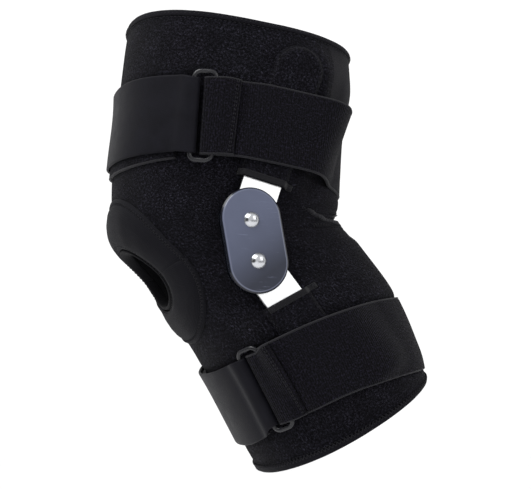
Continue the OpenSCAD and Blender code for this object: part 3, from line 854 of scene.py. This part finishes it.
parts = []
for uu, oo, share, r in ((0.125, 5.14, 0.34, 0.34), (0.23, 4.1, 0.66, 0.27)):
    p, n = round_line(uu, oo)
    parts.append(running(p, n, 3.0, share, r, 0.16, True))
stitch("thigh_hem_stitching", parts, "thigh")
p, n = round_line(LAST - 0.19, 4.98)
p2, n2 = round_line(LAST - 0.245, 4.1)
stitch("calf_hem_stitching", [zigzag(p, n, 2.6, 1.35, 0.24, 0.2, True),
                              running(p2, n2, 2.8, 0.6, 0.22, 0.15, True)], "calf")

# ---- pockets and their tapes
def mirror(p, side):
    """Points or vectors of the outer side, moved to the inner side for side -1."""
    q = np.array(p, float)
    q[..., 0] *= side
    return q


def pocket_top(s, v, upper):
    """Outer face of a pocket as a point, with its stitched edge pressed down."""
    inner = POCKET_HALF - from_middle(s, v, upper)
    t = 0.25 + (POCKET_T - 0.25) * ease(inner / 4.2)
    t = t - 0.22 * np.exp(-((inner - 2.2) / 0.8) ** 2)
    t = t + 0.12 * noise2(s, v, 3, 17) * ease(inner / 4)
    y, z = strut_at(s, v, upper)
    return np.stack([pocket_x(s, v, upper) + t, y, z], -1)


def named(side, upper, what):
    return side_name(side) + ("_upper_" if upper else "_lower_") + what, "thigh" if upper else "calf"


def pocket(side, upper):
    name, body = named(side, upper, "pocket")
    tip, mouth = LENGTH[upper] - STRUT_W / 2, MOUTH[upper]
    end = np.sin(np.linspace(0.04, 1, 20) * pi / 2 * 0.985)
    ss = cat([np.linspace(mouth, tip, 42), tip + POCKET_HALF * end])
    f = rounded(np.linspace(-1, 1, 45), 0.8)
    across = np.where(ss > tip, np.sqrt(np.maximum(0, POCKET_HALF ** 2 - (ss - tip) ** 2)), POCKET_HALF)
    v = across[:, None] * f[None, :]
    s = ss[:, None] + SLOPE[upper] * v * np.maximum(0, (tip - ss) / (tip - mouth))[:, None]
    top = pocket_top(s, v, upper)
    low = top.copy()
    low[..., 0] = pocket_x(s, v, upper) + 0.02
    mid, half = (top + low) / 2, (top[..., 0] - low[..., 0]) / 2
    out = np.array([side, 0, 0.0])
    settle(ribbon(name + "_cloth", mirror(mid, side), half, LOOP, out), body, "loop_fabric", name)
    # The arch of stitches just inside the edge.
    g = np.linspace(0, pi, 60)
    rr = POCKET_HALF - 2.2
    line = np.array([(mouth + 5, -rr)] + [(tip + rr * sin(x), -rr * cos(x)) for x in g] + [(mouth + 5, rr)])
    d = lengths(line)
    k = np.linspace(0, d[-1], 240)
    s2, v2 = np.interp(k, d, line[:, 0]), np.interp(k, d, line[:, 1])
    pts = pocket_top(s2, v2, upper) + [0.05, 0, 0]
    nor = unit(np.cross(pocket_top(s2 + 0.3, v2, upper) - pocket_top(s2 - 0.3, v2, upper),
                        pocket_top(s2, v2 + 0.3, upper) - pocket_top(s2, v2 - 0.3, upper)))
    nor = nor * np.sign(nor[:, :1])
    row_of = running(mirror(pts, side), mirror(nor, side), 2.7, 0.62, 0.24, 0.2)
    stitch(name + "_stitching", [row_of], body, "loop_fabric")


def tape(side, upper, v0, v1):
    """The tape across a pocket's mouth, from v0 to v1."""
    name, body = named(side, upper, "mouth_tape")
    mouth = MOUTH[upper]
    s, v = np.meshgrid(mouth + 0.2 + np.linspace(0, 3.9, 9), np.linspace(v0, v1, 70))

    def over(s, v, high):
        s = s + SLOPE[upper] * v
        y, z = strut_at(s, v, upper)
        flat = 1 - ease((np.abs(v) - POCKET_HALF + 3.5) / 4)
        x = pocket_x(s, v, upper) + (POCKET_T + 0.1) * flat + high
        return np.stack([x + 0.06 * noise2(v * 2, s * 2, 21, 9), y, z], -1)

    e = np.linspace(-1, 1, 9)
    round_off = np.sqrt(np.maximum(0.06, 1 - np.abs(e) ** 4))[None, :]
    ends = np.sqrt(np.clip(np.minimum(v - v0, v1 - v) / 0.6, 0.06, 1))
    half = 0.4 * round_off * ends
    mid = over(s, v, 0.4)
    out = np.array([side, 0, 0.0])
    settle(ribbon(name + "_cloth", mirror(mid, side), half, TAPE, out), body, "jersey", name)

    def spot(s, v):
        return mirror(over(s, v, 0.82), side)

    parts = []
    for c in (v0 + 2.2, v1 - 2.2):
        vv = np.linspace(c - 1.3, c + 1.3, 20)
        p = spot(mouth + 2.1, vv)
        parts.append(zigzag(p, 0 * p + out, 0.75, 1.5, 0.16, 0.1))
    vv = np.linspace(v0 + 4, v1 - 4, 60)
    for ds in (0.75, 3.4):
        p = spot(mouth + ds, vv)
        parts.append(running(p, 0 * p + out, 2.6, 0.6, 0.17, 0.1))
    stitch(name + "_stitching", parts, body)


for side in (1, -1):
    pocket(side, True)
    pocket(side, False)
    tape(side, True, -16.6, 20.4)
    tape(side, False, -13.4, 23.0)

# ---- straps
def turn(r):
    """The matrix of three rotations in degrees, about X, then Y, then Z."""
    out = np.eye(3)
    for i, a in enumerate(rad(r)):
        j, k, m = (i + 1) % 3, (i + 2) % 3, np.eye(3)
        m[j, j], m[j, k], m[k, j], m[k, k] = cos(a), -sin(a), sin(a), cos(a)
        out = m @ out
    return out


# Each ring's middle and its own axes: across its bars, out of the leg, and along the bars.
RINGS = {"thigh": (np.array([70.9, -32.1, 76.9]), turn([2.7, 4, 71.5])),
         "calf": (np.array([53.8, 12.5, -90.8]), turn([21.8, -18.9, 42.7]))}
STRAP_W, FOLD_W, BAR = 50.0, 47.0, 6.75
N_ACROSS = 41
# Places across a strap, closer together at its edges.
F = np.linspace(0, 1, N_ACROSS)
F = 0.5 - 0.5 * np.cos(F * pi) * (1 - 0.12 * np.sin(F * pi) ** 2)


def bar_line(which, s):
    """The middle line of a ring's front (s -1) or rear (s 1) bar, with the ring's first two axes."""
    pos, r = RINGS[which]
    z = (0.5 - F) * FOLD_W
    loc = np.stack([np.full_like(F, s * BAR), np.zeros_like(F), z], -1)
    return pos + loc @ r.T, r[:, 0], r[:, 1]


def edge_round(t, r=1.1):
    d = np.minimum(F, 1 - F) * STRAP_W
    return t / 2 * np.sqrt(np.clip(1 - (1 - np.clip(d / r, 0, 1)) ** 2, 0.05, 1))


def band_mid(e0, e1, a, offset):
    """A strap's middle surface between two edges, at angles a and an offset or a function of u and angle."""
    a = np.asarray(a)[:, None]
    u = mix(edge(e0, a), edge(e1, a), F[None, :])
    o = offset(u, a) if callable(offset) else np.asarray(offset)
    return skin(u, a + 0 * u, o)


def piping(name, mid, normal, body, r):
    """Light edging along both long edges of a strap."""
    pieces = []
    for i in (0, -1):
        p, n = mid[:, i], normal[:, i]
        side = unit(np.cross(unit(np.gradient(p, axis=0)), n))
        g = circle(8)[:, None]
        ring = p[:, None] + n[:, None] * (np.cos(g) * (STRAP_T / 2 + 0.12)) + side[:, None] * (np.sin(g) * r)
        pieces.append((ring.reshape(-1, 3), quads(len(p), 8, wrap_c=True).tolist() + caps(len(p), 8)))
    v, f = join(pieces)
    x = lengths(mid[:, 0])
    uv = [(x[(i // 8) % len(x)], (i % 8) * 0.7) for face in f for i in face]
    settle(outward(build(name, v, f, PIPING, uv)), body, "elastic")


def normals_of(mid):
    return unit(np.cross(np.gradient(mid, axis=0), np.gradient(mid, axis=1)))


def facing_out(mid, n):
    """Normals turned away from the middle of the leg."""
    c = mid.reshape(-1, 3).mean(0) * [0, 1, 1]
    s = np.sign(np.sum(n * (mid - c), -1, keepdims=True))
    return n * np.where(s == 0, 1, s)


def strap(name, e0, e1, a0, a1, upper, node, mat):
    t = STRAP_T
    a = np.linspace(a0, a1, int(abs(a1 - a0) / 1.6))

    def off(u, aa):
        base = lift(u, aa, STRAP_OFF, upper)
        sag = 0.16 * noise2(aa * MM_PER_DEGREE, u * MM_PER_SECTION, 31 if upper else 37, 40)
        return base + t / 2 + np.maximum(sag, -0.1)

    mid = band_mid(e0, e1, a, off)
    nrm = facing_out(mid, normals_of(mid))
    zone = "upper" if upper else "lower"
    settle(ribbon(name, mid, edge_round(t), mat, nrm), zone, "elastic", node)
    piping(name + "_edging", mid, nrm, zone, 0.85)


def to_bar(which, s, rr, e0, e1, a, a_bar, o_mid, rise, reach=8.0, over=None):
    """Strap surface that comes in along the leg and meets the top of the fold round a bar. With over, it
    also clears the strap under it, on the upper half if over is True."""
    c, xh, yh = bar_line(which, s)
    aa = np.asarray(a)[:, None]
    up = rise * (1 - ease((np.abs(aa - a_bar) - 1) / 10))
    if over is None:
        m = band_mid(e0, e1, a, o_mid + up)
    else:
        m = band_mid(e0, e1, a, lambda u, t: np.maximum(o_mid, lift(u, t, STRAP_OFF, over) + 3.75) + up)
    mm_per_degree = 1.22
    flat = c[None] - yh * rr + xh[None, None] * ((aa - a_bar) * mm_per_degree)[..., None]
    w = ease(1 - np.abs(aa - a_bar) / reach)[..., None]
    return mix(m, flat, w)


def arc(which, s, rr, way, slack):
    """The fold round a bar: from its outer side, through the gap (way), to its inner side."""
    c, xh, yh = bar_line(which, s)
    g = np.radians(np.linspace(0, 195.0, 23)[1:])[:, None, None]
    return c[None] + rr * (np.sin(g) * (way * (1 + slack)) * xh - np.cos(g) * yh)


def thinned(mid, half, least):
    """Half thickness with the free end rounded off."""
    return half * np.sqrt(np.clip(lengths(mid[:, N_ACROSS // 2]) / 1.0, least, 1))[:, None]


def hook_tab(which, e0, e1, a0, a1):
    """A smooth tab from its free end, along the leg and round the ring's front bar."""
    rr = 2.9
    a = np.linspace(a0, a1, 60)
    top = to_bar(which, -1, rr, e0, e1, a, a1, 8.4, 3.3)
    mid = cat([top, arc(which, -1, rr, 1, -0.05)])
    half = thinned(mid, edge_round(TAB_T, 0.9), 0.06)
    ob = ribbon(which + "_hook_tab_vinyl", mid, half, VINYL, facing_tab(mid, len(a)))
    settle(ob, which + "_tab", "hook_tab", which + "_hook_tab")


def facing_tab(mid, n_top):
    """Normals that point out of the leg on the first n_top rows, and follow round the fold."""
    n = normals_of(mid)
    k = facing_out(mid[:n_top], n[:n_top])
    flip = np.sign(np.sum(k * n[:n_top], -1).mean())
    return n * flip


def elastic_fold(which, e0, e1, a0):
    """The strap's end, round the ring's rear bar and sewn down on its own outer face."""
    name, t, rr = which + "_elastic_fold", STRAP_T, 3.1
    a = np.linspace(a0 + 9.5, a0, 24)
    top = to_bar(which, 1, rr, e0, e1, a, a0, 8.05, 3.9, 7.0, which == "thigh")
    mid = cat([top, arc(which, 1, rr, -1, 1.0 if which == "thigh" else 1.45)])
    nrm = facing_tab(mid, len(a))
    settle(ribbon(name, mid, thinned(mid, edge_round(t), 0.08), ELASTIC, nrm), which, "elastic")
    piping(name + "_edging", mid, nrm, which, 0.75)
    # A double row of stitches holds the end down.
    parts = []
    k = int(np.argmin(np.abs(lengths(mid[:, N_ACROSS // 2]) - 2.4)))
    for row_at in (k, k + 2):
        p, n = mid[row_at] + nrm[row_at] * (t / 2 + 0.05), nrm[row_at]
        parts.append(running(p[2:-2], n[2:-2], 2.6, 0.6, 0.26, 0.2))
    stitch(name + "_stitching", parts, which, "elastic")


# Angles of the rear bar, the front bar, the tab's free end and the end of the strap under it; then how far
# that strap's edges stand off from the tab's.
for which, e0, e1, a_rear, a_front, a_free, a_under, upper, in0, in1 in (
        ("thigh", THIGH_TOP, THIGH_LOW, 71.0, 59.0, -28.0, 52.0, True, (0.1, 0, 0), (-0.04, 0.24, 0)),
        ("calf", CALF_TOP, CALF_LOW, 50.4, 37.0, -40.0, 30.0, False, (0.06, 0, 0), (-0.04, 0, 0))):
    strap(which + "_elastic_band", e0, e1, a_rear + 1.0, 268.5, upper, which + "_elastic_strap", ELASTIC)
    f0, f1 = [x + y for x, y in zip(e0, in0)], [x + y for x, y in zip(e1, in1)]
    strap(which + "_front_band", f0, f1, -90.5, a_under, upper, which + "_front_strap", LOOP)
    elastic_fold(which, e0, e1, a_rear)
    hook_tab(which, e0, e1, a_free, a_front)

# ---- kneecap pad and bindings
PAD_T = 4.0


def pad_spot(t, f, h):
    """A point of the pad at t degrees round the opening and share f of the way to its outer edge."""
    u = mix(CAP[0] + CAP[2] * 1.02 * np.sin(rad(t)), 5.63 + 1.7 * np.sin(rad(t)), f)
    a = mix(CAP[3] * 1.02 * np.cos(rad(t)), 45.5 * np.cos(rad(t)), f)
    return surf(u, a, 4.2 + h)


def pad_height(f):
    return PAD_T * np.interp(f, [0, 0.06, 0.16, 0.34, 0.6, 0.78, 0.865, 0.9, 0.935, 0.97, 1.0],
                             [0.36, 0.72, 0.93, 1.0, 0.95, 0.74, 0.42, 0.24, 0.30, 0.27, 0.1])


def halves(name, loops, mat, node):
    """Loops round an opening as two meshes, one for each zone of motion."""
    half = len(loops) // 2
    return [settle(sweep(name + "_" + zone, part, mat, wrap=False), zone, "jersey", *nodes)
            for zone, part, nodes in (("lower", loops[:half + 1], []), ("upper", loops[half:], [node]))]


def kneecap_pad():
    f = cat([np.linspace(0, 0.84, 22), np.linspace(0.865, 1, 9)])
    t = np.arange(0, 361, 3.0)
    tt, ff = np.meshgrid(t, f, indexing="ij")
    uneven = noise2(60 + 40 * np.cos(rad(tt)), 60 + 40 * np.sin(rad(tt)) + ff * 12, 51, 24)
    top, low = pad_spot(tt, ff, pad_height(ff) * (1 + 0.05 * uneven)), pad_spot(tt, ff, 0.0)
    for ob in halves("kneecap_pad", cat([top, low[:, ::-1]], 1), PAD, "kneecap_pad"):
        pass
    for zone, first in (("lower", 0), ("upper", 180)):
        q = np.arange(first, first + 181.0)
        p = pad_spot(q, 0.9, 1.25)
        n = unit(pad_spot(q, 0.9, 3.0) - pad_spot(q, 0.9, 0.0))
        p2 = pad_spot(q, 0.05, 2.9)
        n2 = unit(pad_spot(q, 0.05, 4.0) - pad_spot(q, 0.05, 1.0))
        stitch("kneecap_seam_" + zone, [zigzag(p, n, 2.5, 1.35, 0.23, 0.18),
                                        running(p2, n2, 2.6, 0.6, 0.2, 0.15)], zone)


def rolled(name, hole, top, thick, node, mat):
    """A rolled edge lining an opening."""
    hu0, ha0, hu, ha = hole
    g = circle(18)
    o_mid, o_half = (top - 1.0) / 2 + 0.2, (top + 1.9) / 2
    t = np.arange(0, 361, 3.0)
    rho = 0.93 + thick * rounded(np.cos(g), 0.8)
    oo = o_mid + o_half * rounded(np.sin(g), 0.8)
    tt, rr = np.meshgrid(t, rho, indexing="ij")
    oo = np.repeat(oo[None, :], len(t), 0)
    pts = surf(hu0 + rr * hu * np.sin(rad(tt)), ha0 + rr * ha * np.cos(rad(tt)), oo)
    if hole is CAP:
        halves(name, pts, mat, node)
    else:
        settle(sweep(name, pts[:-1], mat), "upper", "jersey", node)


kneecap_pad()
rolled("kneecap_rolled_edge", CAP, 5.6, 0.07, "kneecap_binding", SHADE_PAINTED_BINDING)
rolled("knee_back_rolled_edge", REAR, 4.2, 0.08, "knee_back_binding", PIPING)

t = np.arange(0, 361, 1.0)
uu = REAR[0] + REAR[2] * 1.28 * np.sin(rad(t))
aa = REAR[1] + REAR[3] * 1.098 * np.cos(rad(t))
p, n = on_cloth(uu, aa, 4.1)
stitch("knee_back_stitching", [zigzag(p, n, 2.4, 1.2, 0.22, 0.18)], "upper")


def path(ends, n, off):
    """A line on the sleeve through (u, angle) points, smoothed, with its normals."""
    e = np.array(ends, float)
    k = np.linspace(0, len(e) - 1, n)
    uu, aa = (np.interp(k, np.arange(len(e)), e[:, i]) for i in (0, 1))
    w = np.hanning(9) / np.hanning(9).sum()
    uu, aa = (np.convolve(np.pad(x, 4, mode="edge"), w, "valid") for x in (uu, aa))
    return surf(uu, aa, off), surf_normal(uu, aa, SLEEVE_T)


# The rolled slit beside the opening, and the rows of zigzag that hold it.
for side in (1, -1):
    slit = [(4.5, side * 123), (4.8, side * 130), (4.97, side * 137), (5.06, side * 146), (5.1, side * 154)]
    p, n = path(slit, 50, 4.35)
    x = np.cross(unit(np.gradient(p, axis=0)), n)
    g, at = circle(10)[:, None], np.arange(50)
    r = 1.25 * np.sqrt(np.clip(np.minimum(at, at[::-1]) / 5, 0.05, 1))
    r = (r * (1 + 0.12 * np.sin(at * 1.9)))[:, None, None]
    tube = p[:, None] + r * (np.cos(g) * n[:, None] + 1.15 * np.sin(g) * x[:, None])
    name = side_name(side)
    settle(sweep(name + "_slit_roll", tube, PIPING, wrap=False), "upper", "jersey")
    p2, n2 = path([(u - 0.07, t - side * 3.2) for u, t in slit], 50, 4.1)
    p3, n3 = path([(5.17, side * 123), (5.24, side * 134), (5.3, side * 143), (5.3, side * 158)], 60, 4.1)
    stitch(name + "_slit_stitching", [zigzag(p2, n2, 2.2, 0.9, 0.22, 0.18),
                                      zigzag(p3, n3, 2.4, 1.3, 0.24, 0.2)], "upper")


# A thin crowned pad lies between each hinge and the sleeve.
for side in (1, -1):
    g, rows = circle(72), []
    for inset, x in ((0.5, 64.5), (0.1, 64.7), (0.0, 65.1), (0.2, 65.4), (0.8, 65.62), (2.2, 65.76),
                     (5.0, 65.8), (9.0, 65.8)):
        r = 15 - inset
        c, a = r * np.cos(g), r * np.sin(g) + 5 * np.sign(np.sin(g))
        rows.append(np.stack([np.full_like(g, side * x), c * cos(LEAN) - a * sin(LEAN),
                              c * sin(LEAN) + a * cos(LEAN)], -1))
    name = side_name(side) + "_hinge_pad"
    settle(sweep(name + "_cloth", np.stack(rows), LINING, wrap=False), "knee", "jersey", name)

# ---- carried-over hard parts
HARD = {"outer_cover": COVER, "inner_cover": COVER_IN, "washers": WASHER, "upper_rivet": CHROME,
        "lower_rivet": CHROME, "upper_strut": STRUT, "lower_strut": STRUT, "thigh_ring": WIRE, "calf_ring": WIRE}
for name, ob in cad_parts.items():
    mat = HARD.get(name.replace("lateral_", "").replace("medial_", ""))
    if mat:
        for s in ob.material_slots:
            s.material = mat

# ---- stage, light, camera
lo, hi = (np.array(v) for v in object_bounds())
centre = (lo + hi) / 2


def stage_mat(name, base):
    m = Mat(name, base, Roughness=0.9, Specular_IOR_Level=0.1)
    return m.done(m.tint(times(base, 0.995), base, m.noise(m.coord("Object"), 3.0)))


def card(name, mat_name, shade, half_x, half_y, z=0.0):
    """A flat rectangle that isn't part of the object."""
    me = bpy.data.meshes.new(name)
    corners = [(x * half_x, y * half_y, z) for x, y in ((-1, -1), (1, -1), (1, 1), (-1, 1))]
    me.from_pydata(corners, [], [(0, 1, 2, 3)])
    me.materials.append(stage_mat(mat_name, shade))
    return in_scene(name, me)


# The floor is low enough for a tab that hangs open and for a camera that looks up.
FLOOR_DROP, FLOOR_HALF = 0.3, 6
floor = card("floor", "floor_paper", (0.93, 0.93, 0.935), FLOOR_HALF, FLOOR_HALF, lo[2] - FLOOR_DROP)
floor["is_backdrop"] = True

bpy.context.scene.view_settings.view_transform = "Standard"
world = bpy.data.worlds.new("studio")
bpy.context.scene.world = world
world.use_nodes = True
white = world.node_tree.nodes["Background"].inputs
white["Color"].default_value, white["Strength"].default_value = (1, 1, 1, 1), 1.08


def place(ob, azimuth, elevation, dist, at):
    """Puts an object at an angle and distance from a point, and turns it to face that point."""
    a, e = radians(azimuth), radians(elevation)
    ob.location = at + dist * np.array([sin(a) * cos(e), -cos(a) * cos(e), sin(e)])
    ob.rotation_euler = (Vector(at) - ob.location).to_track_quat("-Z", "Y").to_euler()


def area(name, azimuth, elevation, dist, width, height, power):
    light = bpy.data.lights.new(name, "AREA")
    light.shape, light.size, light.size_y, light.energy = "RECTANGLE", width, height, power
    place(in_scene(name, light), azimuth, elevation, dist, centre)


area("key", 30, 48, 1.6, 1.0, 1.0, 26)
area("fill", 130, 25, 1.8, 1.2, 1.2, 10)


def flag(name, azimuth, elevation, dist, width, height, shade):
    """A dark card that only shows as a reflection in the bright parts."""
    ob = card(name, name + "_card", (shade, shade, shade), width / 2, height / 2)
    place(ob, azimuth, elevation, dist, centre)
    ob.visible_camera = ob.visible_diffuse = ob.visible_shadow = False
    ob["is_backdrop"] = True


flag("flag_front", 28, -6, 1.3, 1.0, 1.5, 0.02)
flag("flag_low", 108, -19, 1.3, 1.3, 0.42, 0.03)
flag("flag_side", 150, 10, 1.3, 0.35, 1.2, 0.10)

cam = in_scene("camera", bpy.data.cameras.new("camera"))
cam.data.sensor_width, cam.data.lens = 36, 91.5
place(cam, 75, -6, 0.9, metres((7.2, 24.9, 5.0)))
bpy.context.scene.camera = cam
